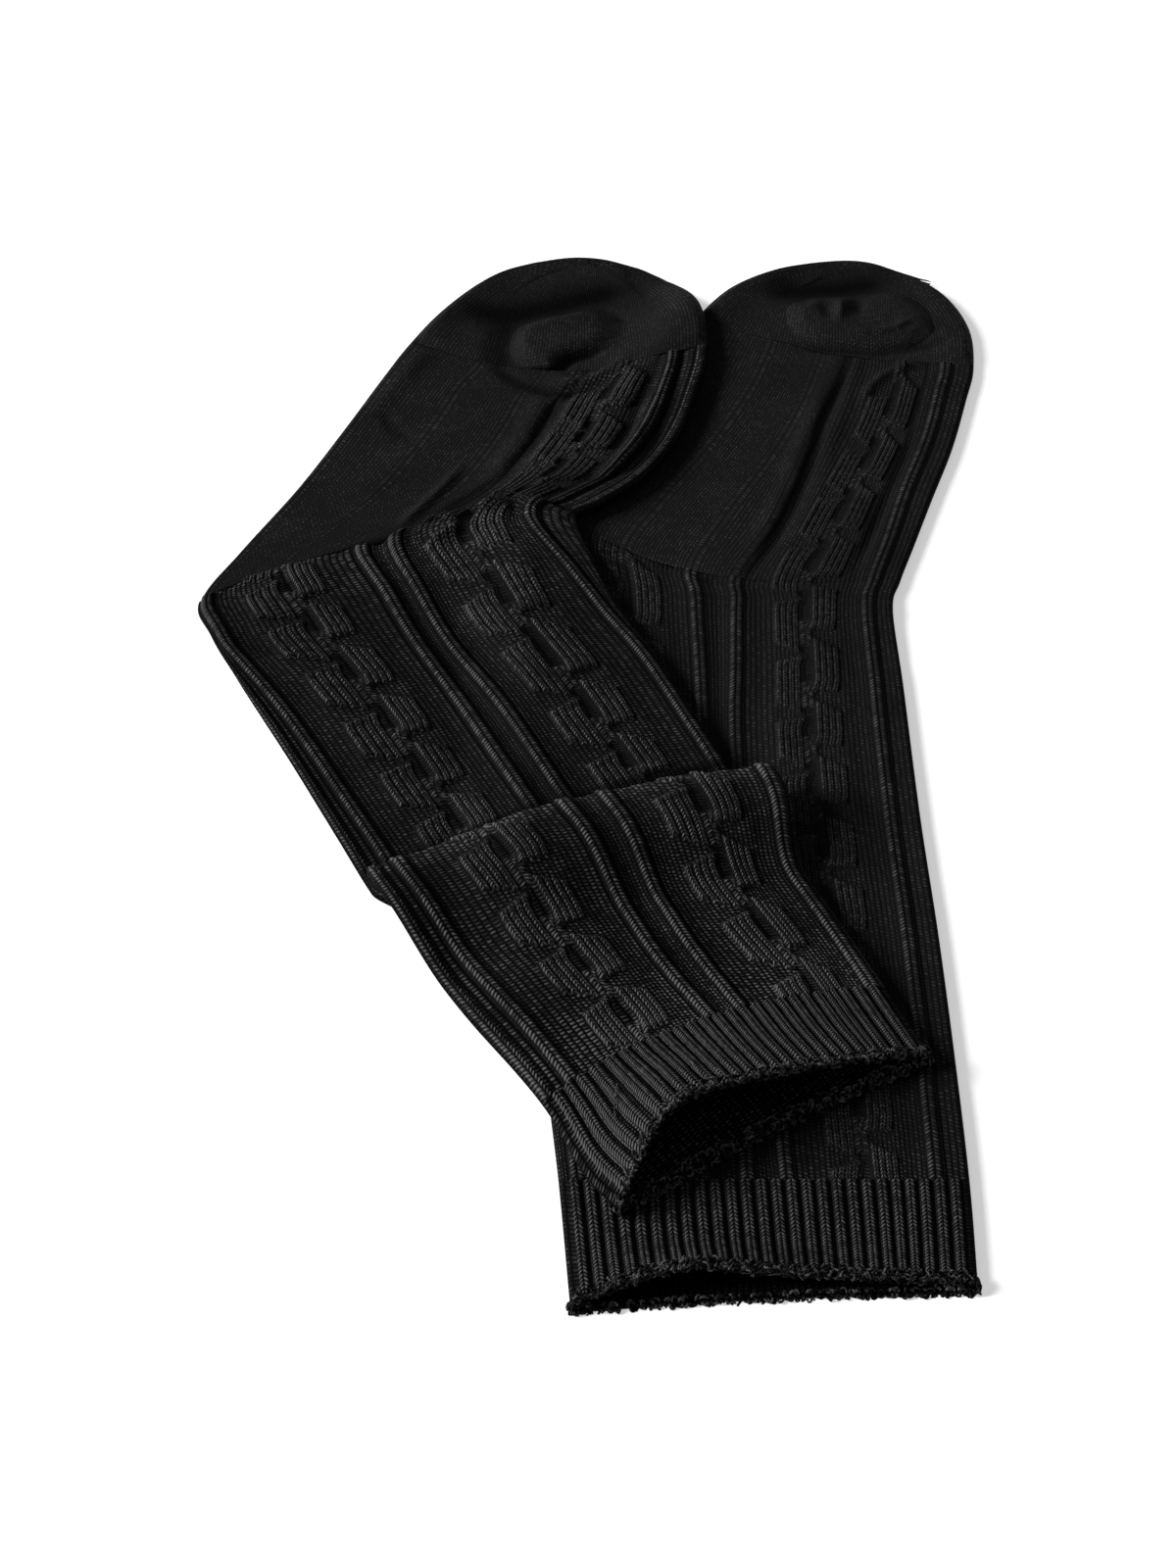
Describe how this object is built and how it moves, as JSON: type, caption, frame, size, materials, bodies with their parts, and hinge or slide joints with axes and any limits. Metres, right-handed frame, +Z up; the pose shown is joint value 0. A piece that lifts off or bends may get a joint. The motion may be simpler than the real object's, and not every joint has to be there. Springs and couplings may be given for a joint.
{
  "type": "pair of knee-high socks",
  "caption": "Black cable-knit knee socks to wear, laid flat in profile and crossed, with ribbed cuffs, ribs and cables on the legs, plain soles and toe caps.",
  "frame": {"origin": "centre of the pair's box, on the surface that it lies on", "axes": "+Y from the cuffs towards the toes, +Z up, +X to the right of someone who stands at the cuffs"},
  "size_m": [0.2448, 0.4278, 0.0213],
  "materials": {
    "cuff_knit": "black cotton, 1x1 rib, matt with a faint sheen",
    "leg_knit": "black cotton, ribs and cables on a purl ground, matt",
    "foot_knit": "black cotton, plain sole with a cabled instep, matt",
    "toe_knit": "black cotton, plain knit, matt"
  },
  "bodies": {
    "root": {"under_cuff": "cuff_knit", "under_leg": "leg_knit", "under_foot": "foot_knit", "under_toe": "toe_knit", "over_cuff": "cuff_knit", "over_leg": "leg_knit", "over_foot": "foot_knit", "over_toe": "toe_knit"}
  },
  "joints": []
}
